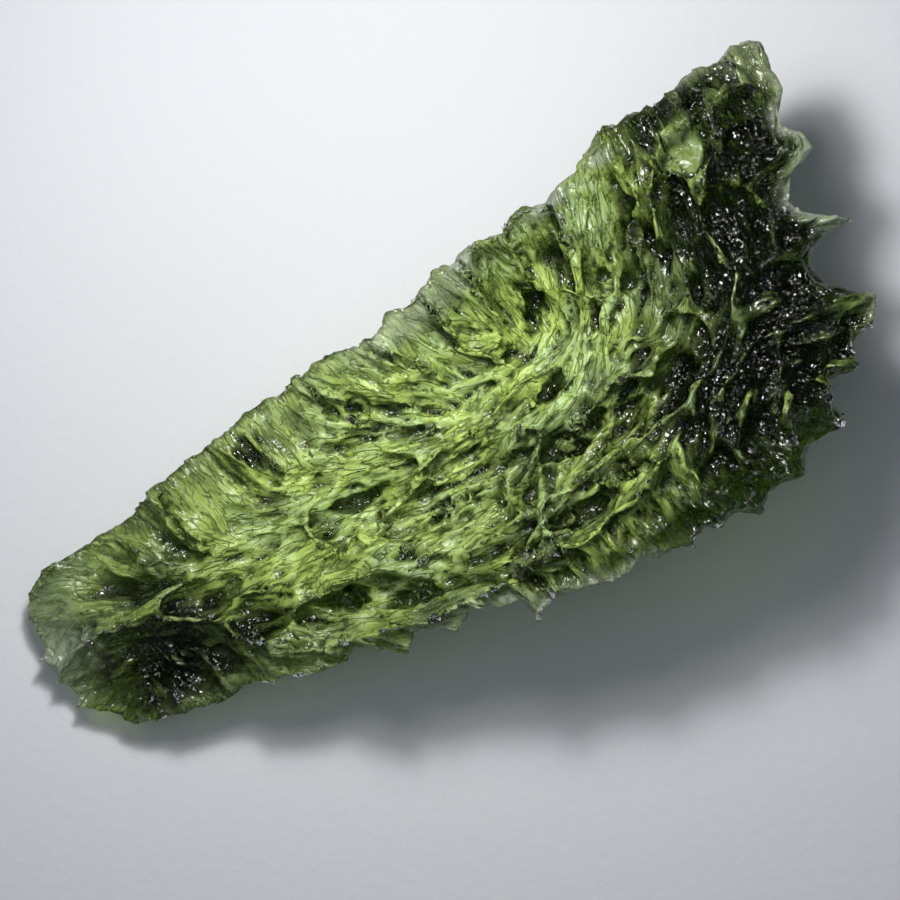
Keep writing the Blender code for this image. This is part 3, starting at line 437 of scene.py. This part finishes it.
def pit_tree():
    """Geometry nodes: scattered round pits pressed into the skin."""
    tree = bpy.data.node_groups.new("round pits", "GeometryNodeTree")
    face = tree.interface
    face.new_socket("Geometry", in_out="INPUT", socket_type="NodeSocketGeometry")
    for name in ("Spacing", "Width", "Depth"):
        face.new_socket(name, in_out="INPUT", socket_type="NodeSocketFloat")
    face.new_socket("Seed", in_out="INPUT", socket_type="NodeSocketInt")
    face.new_socket("Glass", in_out="INPUT", socket_type="NodeSocketMaterial")
    face.new_socket("Geometry", in_out="OUTPUT", socket_type="NodeSocketGeometry")
    ins = add_node(tree, "NodeGroupInput").outputs
    scatter = add_node(tree, "GeometryNodeDistributePointsOnFaces",
                       {"distribute_method": "POISSON", "Density Max": PIT_TRIES, "Density Factor": 1.0},
                       Mesh=ins["Geometry"], Distance_Min=ins["Spacing"], Seed=ins["Seed"])
    nearest = add_node(tree, "GeometryNodeSampleNearest", {"domain": "POINT"},
                       Geometry=scatter.outputs["Points"])
    place = add_node(tree, "GeometryNodeInputPosition")
    centre = add_node(tree, "GeometryNodeSampleIndex", {"data_type": "FLOAT_VECTOR"},
                      Geometry=scatter.outputs["Points"], Value=place.outputs[0],
                      Index=nearest.outputs["Index"])
    gap = add_node(tree, "ShaderNodeVectorMath", {"operation": "DISTANCE"},
                   _0=place.outputs[0], _1=centre.outputs["Value"])
    size = add_node(tree, "FunctionNodeRandomValue",
                    {"data_type": "FLOAT", 2: PIT_SIZES[0], 3: PIT_SIZES[1]},
                    ID=nearest.outputs["Index"], Seed=ins["Seed"])
    radius = add_node(tree, "ShaderNodeMath", {"operation": "MULTIPLY"},
                      _0=ins["Width"], _1=size.outputs[1])
    share = add_node(tree, "ShaderNodeMath", {"operation": "DIVIDE"},
                     _0=gap.outputs["Value"], _1=radius.outputs[0])
    bowl = add_node(tree, "ShaderNodeMath", {"operation": "MULTIPLY"},
                    _0=share.outputs[0], _1=share.outputs[0])
    inside = add_node(tree, "ShaderNodeMath", {"operation": "SUBTRACT", "use_clamp": True, 0: 1.0},
                      _1=bowl.outputs[0])
    scaled = add_node(tree, "ShaderNodeMath", {"operation": "MULTIPLY"},
                      _0=inside.outputs[0], _1=ins["Depth"])
    deep = add_node(tree, "ShaderNodeMath", {"operation": "MULTIPLY"},
                    _0=scaled.outputs[0], _1=size.outputs[1])
    back = add_node(tree, "ShaderNodeMath", {"operation": "MULTIPLY", 1: -1.0}, _0=deep.outputs[0])
    normal = add_node(tree, "GeometryNodeInputNormal")
    offset = add_node(tree, "ShaderNodeVectorMath", {"operation": "SCALE"},
                      _0=normal.outputs[0], Scale=back.outputs[0])
    pressed = add_node(tree, "GeometryNodeSetPosition",
                       Geometry=ins["Geometry"], Offset=offset.outputs[0])
    real = add_node(tree, "GeometryNodeRealizeInstances", Geometry=pressed.outputs[0])
    glass = add_node(tree, "GeometryNodeSetMaterial", Geometry=real.outputs[0], Material=ins["Glass"])
    add_node(tree, "NodeGroupOutput", _0=glass.outputs[0])
    return tree


def set_input(modifier, name, value):
    """Sets a geometry nodes input by the identifier of its socket."""
    for item in modifier.node_group.interface.items_tree:
        if item.item_type == "SOCKET" and item.in_out == "INPUT" and item.name == name:
            modifier[item.identifier] = value


def etched_lines(tree, grain, gap, length, width, shift):
    """Narrow grooves that wind along the flow: 0 in the groove, 1 on the land between two."""
    stretched = add_node(tree, "ShaderNodeMapping",
                         {"Location": (shift, shift, 0.0), "Scale": (1.0 / gap, 1.0 / length, 1.0)},
                         Vector=grain)
    wave = add_node(tree, "ShaderNodeTexNoise", {"Scale": 1.0, "Detail": 2.0, "Roughness": 0.55},
                    Vector=stretched.outputs[0])
    middle = add_node(tree, "ShaderNodeMath", {"operation": "SUBTRACT", 1: 0.5}, _0=wave.outputs["Fac"])
    off = add_node(tree, "ShaderNodeMath", {"operation": "ABSOLUTE"}, _0=middle.outputs[0])
    return add_node(tree, "ShaderNodeMapRange", {"interpolation_type": "SMOOTHSTEP", "From Max": width},
                    Value=off.outputs[0]).outputs["Result"]


def scale_edges(tree, grain, width, length, groove):
    """Long scales with crooked edges: 0 in the groove round each scale, 1 on it."""
    stretched = add_node(tree, "ShaderNodeMapping", {"Scale": (1.0 / width, 1.0 / length, 1.0)},
                         Vector=grain)
    stray = add_node(tree, "ShaderNodeTexNoise", {"noise_dimensions": "2D", "Scale": 1.3, "Detail": 3.0},
                     Vector=stretched.outputs[0])
    crooked = add_node(tree, "ShaderNodeVectorMath",
                       {"operation": "MULTIPLY_ADD", 1: (SCALE_WANDER, SCALE_WANDER, 0.0)},
                       _0=stray.outputs["Color"], _2=stretched.outputs[0])
    cells = add_node(tree, "ShaderNodeTexVoronoi",
                     {"voronoi_dimensions": "2D", "feature": "DISTANCE_TO_EDGE", "Scale": 1.0},
                     Vector=crooked.outputs[0])
    gaps = add_node(tree, "ShaderNodeMapRange",
                    {"From Min": SCALE_GAP_SPAN[0], "From Max": SCALE_GAP_SPAN[1], "To Max": SCALE_GAPS},
                    Value=stray.outputs["Fac"])
    lifted = add_node(tree, "ShaderNodeMath", {"operation": "MULTIPLY_ADD", 1: groove},
                      _0=gaps.outputs["Result"], _2=cells.outputs["Distance"])
    return add_node(tree, "ShaderNodeMapRange", {"interpolation_type": "SMOOTHSTEP", "From Max": groove},
                    Value=lifted.outputs[0]).outputs["Result"]


def moldavite_glass():
    """Moldavite is a natural glass, etched in the ground. Fine lines along the flow frost its skin, so
    it takes the light softly and still sparkles. Where the etching is finest the skin is milky and lets
    little light through. The body is clear yellow-green glass. Deep bottle green shade is painted on
    the skin in the listed dark parts, crevices, hollows, gullies and the chip, and a darker green shade
    is painted in the grooves of the etch marks; roughness and facets follow the painted shade."""
    material = bpy.data.materials.new("moldavite_glass")
    material.use_nodes = True
    tree = material.node_tree
    tree.nodes.clear()
    out = add_node(tree, "ShaderNodeOutputMaterial")
    spot = add_node(tree, "ShaderNodeTexCoord")
    grain = add_node(tree, "ShaderNodeUVMap", {"uv_map": "grain"}).outputs[0]
    fine = scale_edges(tree, grain, *SCALES)
    broad = etched_lines(tree, grain, *BROAD_LINES, BROAD_SHIFT)
    lines = add_node(tree, "ShaderNodeMath", {"operation": "MULTIPLY"}, _0=fine, _1=broad)
    grit = add_node(tree, "ShaderNodeTexNoise",
                    {"Scale": GRIT_PER_MM / MM, "Detail": 3.0, "Roughness": 0.65},
                    Vector=spot.outputs["Object"])
    marks = add_node(tree, "ShaderNodeMath", {"operation": "MULTIPLY_ADD", 1: BROAD_GAIN},
                     _0=broad, _2=fine)
    painted_shade = add_node(tree, "ShaderNodeAttribute", {"attribute_name": "painted_shade"})
    rough_as = add_node(tree, "ShaderNodeMapRange", {"To Min": GRIT[0], "To Max": GRIT[1]},
                        Value=painted_shade.outputs["Fac"])
    gritty = add_node(tree, "ShaderNodeMath", {"operation": "MULTIPLY_ADD"},
                      _0=grit.outputs["Fac"], _1=rough_as.outputs["Result"], _2=marks.outputs[0])
    cells = add_node(tree, "ShaderNodeTexVoronoi", {"Scale": FACETS_PER_MM / MM},
                     Vector=spot.outputs["Object"])
    cut = add_node(tree, "ShaderNodeMath", {"operation": "MULTIPLY", 1: FACETS}, _0=painted_shade.outputs["Fac"])
    height = add_node(tree, "ShaderNodeMath", {"operation": "MULTIPLY_ADD"},
                      _0=cells.outputs["Distance"], _1=cut.outputs[0], _2=gritty.outputs[0])
    bump = add_node(tree, "ShaderNodeBump", {"Strength": 1.0, "Distance": MARK_DEPTH * MM},
                    Height=height.outputs[0])
    blotch = add_node(tree, "ShaderNodeMapping",
                      {"Scale": (1.0 / MOSS_BLOTCH[0], 1.0 / MOSS_BLOTCH[1], 1.0)}, Vector=grain)
    blotches = add_node(tree, "ShaderNodeTexNoise",
                        {"noise_dimensions": "2D", "Scale": 1.0, "Detail": 3.0, "Roughness": 0.6},
                        Vector=blotch.outputs[0])
    mossy = add_node(tree, "ShaderNodeMapRange", {"From Min": MOSS_SPAN[0], "From Max": MOSS_SPAN[1]},
                     Value=blotches.outputs["Fac"])
    patches = add_node(tree, "ShaderNodeTexNoise", {"Scale": 1.0 / (MINT_PATCH * MM), "Detail": 2.0},
                       Vector=spot.outputs["Object"])
    minty = add_node(tree, "ShaderNodeMapRange", {"From Min": MINT_SPAN[0], "From Max": MINT_SPAN[1]},
                     Value=patches.outputs["Fac"])
    pale = add_node(tree, "ShaderNodeMix",
                    {"data_type": "RGBA", 6: (*linear(PLATE_GREEN), 1.0), 7: (*linear(MINT_GREEN), 1.0)},
                    _0=minty.outputs["Result"])
    etched = add_node(tree, "ShaderNodeMix", {"data_type": "RGBA", 7: (*linear(MOSS_GREEN), 1.0)},
                      _0=mossy.outputs["Result"], _6=pale.outputs[2])
    # Painted shade: the grooves of the etch marks are painted a darker green.
    plate = add_node(tree, "ShaderNodeMix", {"data_type": "RGBA", 6: (*linear(GROOVE_PAINTED_SHADE_GREEN), 1.0)},
                     _0=lines.outputs[0], _7=etched.outputs[2])
    frost = add_node(tree, "ShaderNodeAttribute", {"attribute_name": "frost"})
    # Painted shade: the etched colour is mixed towards deep green by the painted shade mask.
    deep = add_node(tree, "ShaderNodeMix", {"data_type": "RGBA", 7: (*linear(PAINTED_SHADE_GREEN), 1.0)},
                    _0=painted_shade.outputs["Fac"], _6=plate.outputs[2])
    ribs = add_node(tree, "ShaderNodeMapRange", {"To Min": 1.0, "To Max": FROST_RIBS},
                    Value=mossy.outputs["Result"])
    white = add_node(tree, "ShaderNodeMath", {"operation": "MULTIPLY"},
                     _0=frost.outputs["Fac"], _1=ribs.outputs["Result"])
    tint = add_node(tree, "ShaderNodeMix", {"data_type": "RGBA", 7: (*linear(FROST_GREY), 1.0)},
                    _0=white.outputs[0], _6=deep.outputs[2])
    dull = add_node(tree, "ShaderNodeMapRange",
                    {"To Min": SKIN_ROUGH[0], "To Max": SKIN_ROUGH[1]}, Value=painted_shade.outputs["Fac"])
    milk = add_node(tree, "ShaderNodeAttribute", {"attribute_name": "milk"})
    matt = add_node(tree, "ShaderNodeMath", {"operation": "MULTIPLY_ADD", 1: MILK_ROUGH},
                    _0=milk.outputs["Fac"], _2=dull.outputs["Result"])
    clear = add_node(tree, "ShaderNodeMapRange", {"To Min": 1.0, "To Max": MILKY},
                     Value=milk.outputs["Fac"])
    shader = add_node(tree, "ShaderNodeBsdfPrincipled",
                      {"distribution": "MULTI_GGX", "IOR": GLASS_IOR},
                      Base_Color=tint.outputs[2], Roughness=matt.outputs[0],
                      Transmission_Weight=clear.outputs["Result"], Normal=bump.outputs["Normal"])
    body = add_node(tree, "ShaderNodeVolumeAbsorption",
                    {"Color": (*linear(BODY_GREEN), 1.0), "Density": BODY_DENSITY})
    tree.links.new(shader.outputs[0], out.inputs["Surface"])
    tree.links.new(body.outputs[0], out.inputs["Volume"])
    return material


def paper():
    """Heavy matt paper: off-white, with a felt grain about half a millimetre across."""
    material = bpy.data.materials.new("white_paper")
    material.use_nodes = True
    tree = material.node_tree
    shader = tree.nodes["Principled BSDF"]
    shader.inputs["Base Color"].default_value = (*linear("#e6e8ee"), 1.0)
    shader.inputs["Roughness"].default_value = 0.75
    spot = add_node(tree, "ShaderNodeTexCoord")
    grain = add_node(tree, "ShaderNodeTexNoise", {"Scale": FELT_PER_MM / MM, "Detail": 3.0},
                     Vector=spot.outputs["Object"])
    bump = add_node(tree, "ShaderNodeBump", {"Strength": 0.4, "Distance": 0.08 * MM},
                    Height=grain.outputs["Fac"])
    tree.links.new(bump.outputs["Normal"], shader.inputs["Normal"])
    return material


def from_place(points, x, y):
    """How far the points lie east and north of a place in the tables."""
    return points[:, 0] - FLOW_AT[0] - x, points[:, 1] - FLOW_AT[1] - y


def share_in(parts, points):
    """How far each point lies in the listed parts, 0 to 1."""
    share = np.zeros(len(points))
    for x, y, half_x, half_y, strength in parts:
        east, north = from_place(points, x, y)
        gap = np.hypot(east / half_x, north / half_y)
        share = np.maximum(share, strength * np.clip(PART_FADE - gap, 0.0, 1.0))
    return share


def single_pits(points, normals):
    """Depth of the single round pits, each a bowl with a groove round it."""
    depth = np.zeros(len(points))
    for x, y, radius, deep in PITS:
        gap = np.hypot(*from_place(points, x, y)) / radius
        depth += deep * np.exp(-((gap - PIT_GROOVE[0]) / PIT_GROOVE[1]) ** 2)
        depth += PIT_BOWL * deep * np.clip(1.0 - gap ** 2, 0.0, 1.0)
    return depth * (normals[:, 2] > STEEP)


def inside_oval(points, x, y, half_long, half_wide, turn, corners):
    """How far each point lies inside a crooked oval, in mm; outside it is negative."""
    east, north = from_place(points, x, y)
    turn = math.radians(turn)
    along = (east * math.cos(turn) + north * math.sin(turn)) / half_long
    across = (north * math.cos(turn) - east * math.sin(turn)) / half_wide
    angle = np.arctan2(across, along)
    edge = 1.0 + sum(share * np.cos(number * angle + start) for share, number, start in corners)
    return (edge - np.hypot(along, across)) * half_wide


def chip_outline(points):
    """How far each point lies inside the chip's crooked outline, in mm; outside it is negative."""
    x, y, half_long, half_wide, turn, _ = CHIP
    return inside_oval(points, x, y, half_long, half_wide, turn, CHIP_CORNERS)


def break_chip(points, normals):
    """The skin inside the chip pressed flat, with the faint ripples of a fresh break."""
    inside = (chip_outline(points) > 0.0) & (normals[:, 2] > STEEP)
    middle = points[inside].mean(axis=0)
    facing = normals[inside].mean(axis=0)
    facing /= np.linalg.norm(facing)
    level = (points[inside] - middle) @ facing
    ripple = CHIP_RIPPLE[0] * np.cos(chip_outline(points[inside]) * CHIP_RIPPLE[1])
    points = points.copy()
    points[inside] -= facing * (level + CHIP[5] + ripple)[:, None]
    return points


def gullies(points):
    """How deep in a gully each point lies, 0 to 1, by its place seen from above."""
    share = np.zeros(len(points))
    for index, gully in enumerate(GULLIES):
        corners = [(size, number, index * (order + 1.0))
                   for order, (size, number) in enumerate(GULLY_CORNERS)]
        inside = inside_oval(points, *gully, corners) / GULLY_WALL + 0.5
        share = np.maximum(share, np.clip(inside, 0.0, 1.0))
    return share * share * (3.0 - 2.0 * share)


def grain_map(mesh, tree, plate, start, normals, flow, rng):
    """A UV map in millimetres, across and along the plate that each face lies on."""
    shift = rng.uniform(0.0, 60.0, (len(start), 2))
    corners = np.empty(len(mesh.loops), dtype=np.int64)
    mesh.loops.foreach_get("vertex_index", corners)
    of_face = np.repeat(np.arange(len(mesh.polygons)), [len(p.vertices) for p in mesh.polygons])
    nearest = np.array([tree.find(p.center)[1] for p in mesh.polygons])
    centre = plate[nearest][of_face]
    centre = np.where(centre < 0, nearest[of_face], centre)
    reach = points_of(mesh)[corners] - start[centre]
    across = (reach * np.cross(normals[centre], flow[centre])).sum(axis=1)
    along = (reach * flow[centre]).sum(axis=1)
    fresh = ((chip_outline(start[centre]) > 0.0) & (start[centre][:, 2] > CHIP_ABOVE))[:, None]
    uv = np.column_stack((across, along)) * np.where(fresh, CHIP_GRAIN, 1.0) + shift[centre]
    layer = mesh.uv_layers.new(name="grain")
    layer.data.foreach_set("uv", uv.astype(np.float32).ravel())


def drop_crumbs(mesh):
    """Keeps the stone and removes the crumbs that the etching has cut from its thin teeth."""
    bm = bmesh.new()
    bm.from_mesh(mesh)
    left, islands = set(bm.verts), []
    while left:
        island = [left.pop()]
        for vert in island:
            for edge in vert.link_edges:
                other = edge.other_vert(vert)
                if other in left:
                    left.remove(other)
                    island.append(other)
        islands.append(island)
    islands.sort(key=len)
    for island in islands[:-1]:
        bmesh.ops.delete(bm, geom=island, context="VERTS")
    bm.to_mesh(mesh)
    bm.free()


def skin_looks(mesh, points, nearest, crevice, relief, calm, whole):
    """How much painted deep green shade, how frosted and how milky the finished skin is at each point.
    """
    facing = normals_of(mesh)[:, 2]
    ridge = np.clip(-RIDGE_GAIN * relief[nearest], 0.0, 1.0)
    # Painted shade: deep green in the listed parts, lighter on ridges, more in gullies, crevices and
    # hollows.
    painted_shade = share_in(PAINTED_SHADE_PARTS, points) * (1.0 - RIDGE_CLEAR * ridge)
    painted_shade = np.maximum(painted_shade, GULLY_PAINTED_SHADE * gullies(points) * (facing > UNDERSIDE))
    # Painted shade in crevices between plates and in hollows.
    own = (CREVICE_PAINTED_SHADE * crevice * calm + HOLLOW_PAINTED_SHADE * relief)[nearest]
    painted_shade += own * (1.0 - GULLY_EVEN * gullies(points))
    painted_shade = np.clip((painted_shade - PAINTED_SHADE_FROM) / (1.0 - PAINTED_SHADE_FROM), 0.0, 1.0)
    painted_shade *= np.clip((whole[nearest] - THIN_EDGE[0]) / THIN_EDGE[1], 0.0, 1.0)
    thin = np.clip(1.0 - (whole[nearest] - FROST_EDGE[0]) / FROST_EDGE[1], 0.0, 1.0)
    thin *= FROST_THIN[0] + (FROST_THIN[1] - FROST_THIN[0]) * share_in(PALES, points)
    thin *= 1.0 - share_in(PAINTED_SHADE_PARTS[:1], points)
    rimed = share_in(FROSTS, points) * np.clip(FROST_FACING[0] * facing + FROST_FACING[1], 0.0, 1.0)
    milk = np.maximum(share_in(MILKS, points) * (1.0 - painted_shade), share_in([RIBBED], points) * ridge)
    milk *= np.clip((whole[nearest] - MILK_EDGE[0]) / MILK_EDGE[1], 0.0, 1.0)
    chip = np.clip(chip_outline(points) / CHIP_EDGE, 0.0, 1.0) * (points[:, 2] > CHIP_ABOVE)
    # Painted shade in the chip.
    painted_shade += (CHIP_PAINTED_SHADE - painted_shade) * chip
    milk = np.maximum.reduce((
        milk * (1.0 - chip), CHIP_MILK * chip, FROST_MILK * rimed, PALE_MILK * thin))
    return {"painted_shade": painted_shade, "frost": np.maximum(rimed, thin) * (1.0 - chip), "milk": milk}


def add_pits(obj, glass):
    """The scattered pits, and fewer faces where the skin is smooth."""
    pits = obj.modifiers.new("round pits", "NODES")
    pits.node_group = pit_tree()
    set_input(pits, "Spacing", PIT_SPACING * MM)
    set_input(pits, "Width", 0.5 * PIT_WIDTH * MM)
    set_input(pits, "Depth", PIT_DEPTH * MM)
    set_input(pits, "Seed", SEED)
    set_input(pits, "Glass", glass)
    thin = obj.modifiers.new("fewer faces", "DECIMATE")
    thin.decimate_type = "COLLAPSE"
    thin.ratio = min(1.0, SKIN_TRIANGLES / sum(len(p.vertices) - 2 for p in obj.data.polygons))
    return plain_mesh(obj)


def build_stone():
    """The stone's skin: melted, etched, gullied, chipped, pitted and coloured, with painted shade."""
    rng = np.random.default_rng(SEED)
    mesh = melted_skin()
    start = points = points_of(mesh)
    start_normals = normals = normals_of(mesh)
    flow = flow_directions(points, normals)
    thick, whole = glass_behind(mesh, points, normals)
    blunt = np.clip(-hollows(mesh, points, normals, TIP_ROUNDS) - TIP_FROM, 0.0, TIP_MOST)
    points = points + normals * (TIP_GAIN * blunt * (points[:, 2] > TIP_ABOVE))[:, None]
    set_points(mesh, points)
    normals = normals_of(mesh)
    calm = 1.0 - share_in(CALMS, points) * (normals[:, 2] > STEEP)
    rugged = share_in(RUGGED, points)
    room = WALL_SHARE * thick + TINY
    plates, crevice = [], np.zeros(len(points))
    for (length, width, height, spacing), lost in zip(PLATES, LOST_PLATES):
        under, plate = lay_plates(points, normals, flow, room, lost * rugged,
                                  length, width, height, spacing, rng)
        room = np.maximum(room - under, TINY)
        plates.append(plate)
        # How far into a crevice between plates each point lies; painted shade is laid there later.
        between = np.clip((under / height - CREVICE_FROM) / CREVICE_WIDTH, 0.0, 1.0)
        crevice = np.maximum(crevice, between)
        under *= np.clip(points[:, 2] / FOOT_FADE, 0.0, 1.0) * calm
        points = points - normals * under[:, None]
        set_points(mesh, points)
        normals = normals_of(mesh)
    cut = single_pits(points, normals)
    cut += np.minimum(GULLY_DEPTH, room) * gullies(points) * (normals[:, 2] > STEEP)
    points = break_chip(points - normals * cut[:, None], normals)
    set_points(mesh, points)
    normals = normals_of(mesh)
    # How far each point lies in a hollow, for painted shade: more in hollows, less on ridges.
    relief = np.zeros(len(points))
    for rounds, depth in HOLLOWS:
        relief += np.clip(hollows(mesh, points, normals, rounds) / depth, -1.0, 1.0) / len(HOLLOWS)
    near = KDTree(len(points))
    for index, point in enumerate(points * MM):
        near.insert(point, index)
    near.balance()
    glass = moldavite_glass()
    mesh.materials.clear()
    mesh.materials.append(glass)
    mesh = add_pits(held(mesh, "moldavite_skin"), glass)
    drop_crumbs(mesh)
    mesh.shade_smooth()
    grain_map(mesh, near, plates[1], start, start_normals, flow, rng)
    final = points_of(mesh)
    nearest = np.array([near.find(p)[1] for p in final * MM])
    looks = skin_looks(mesh, final, nearest, crevice, relief, calm, whole)
    for name, values in looks.items():
        layer = mesh.attributes.new(name, "FLOAT", "POINT")
        layer.data.foreach_set("value", values.astype(np.float32))
    stone = held(mesh, "moldavite_skin")
    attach(stone, "root")
    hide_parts("moldavite")


def build_floor():
    """A sheet of paper, two metres square, so that no view shows its end."""
    mesh = bpy.data.meshes.new("paper")
    corners = [(-1.0, -1.0, 0.0), (1.0, -1.0, 0.0), (1.0, 1.0, 0.0), (-1.0, 1.0, 0.0)]
    mesh.from_pydata(corners, [], [(0, 1, 2, 3)])
    mesh.materials.append(paper())
    floor = held(mesh, "paper")


def build_camera():
    """A camera straight above, turned so that the straight rim rises to the right."""
    right = Vector((VIEW_TURN[0], -VIEW_TURN[1], 0.0)).normalized()
    up = Vector((VIEW_TURN[1], VIEW_TURN[0], 0.0)).normalized()
    camera = bpy.data.cameras.new("camera")
    camera.lens = camera.sensor_width * (CAMERA_HEIGHT - VIEW_LEVEL) / VIEW_WIDE
    camera.clip_start = 0.01
    obj = bpy.data.objects.new("camera", camera)
    bpy.context.scene.collection.objects.link(obj)
    middle = right * VIEW_CENTRE[0] + up * VIEW_CENTRE[1] + Vector((*FLOW_AT, CAMERA_HEIGHT))
    turned = Matrix((right, up, Vector((0.0, 0.0, 1.0)))).transposed().to_4x4()
    obj.matrix_world = Matrix.Translation(middle * MM) @ turned
    bpy.context.scene.camera = obj


def add_lamp(name, colour, energy, size, place):
    """A round lamp aimed at the stone."""
    lamp = bpy.data.lights.new(name, "AREA")
    lamp.shape = "DISK"
    lamp.size = size * MM
    lamp.energy = energy
    lamp.color = linear(colour)
    obj = bpy.data.objects.new(name, lamp)
    bpy.context.scene.collection.objects.link(obj)
    obj.location = Vector(place) * MM
    obj.rotation_euler = obj.location.to_track_quat("Z", "Y").to_euler()


def build_lights():
    """A cool, dim studio, a small key lamp and two soft lamps: diameters and places in mm."""
    world = bpy.data.worlds.new("studio")
    bpy.context.scene.world = world
    world.use_nodes = True
    sky = world.node_tree.nodes["Background"]
    sky.inputs["Color"].default_value = (*linear("#cfd8ea"), 1.0)
    sky.inputs["Strength"].default_value = 0.10
    lamp = bpy.data.lights.new("key", "SPOT")
    lamp.energy = KEY_POWER
    lamp.shadow_soft_size = KEY_RADIUS * MM
    lamp.spot_size = math.radians(KEY_CONE)
    lamp.spot_blend = 1.0
    obj = bpy.data.objects.new("key", lamp)
    bpy.context.scene.collection.objects.link(obj)
    obj.location = Vector(KEY_PLACE) * MM
    obj.rotation_euler = (obj.location - Vector(KEY_AIM) * MM).to_track_quat("Z", "Y").to_euler()
    add_lamp("soft", "#fffdf6", 0.026, 28.0, (12.0, 31.0, 66.0))
    add_lamp("overhead", "#f4f6ff", 0.09, 260.0, (-20.0, 30.0, 280.0))
    bpy.context.scene.view_settings.view_transform = "Standard"


build_camera()
build_stone()
build_floor()
build_lights()
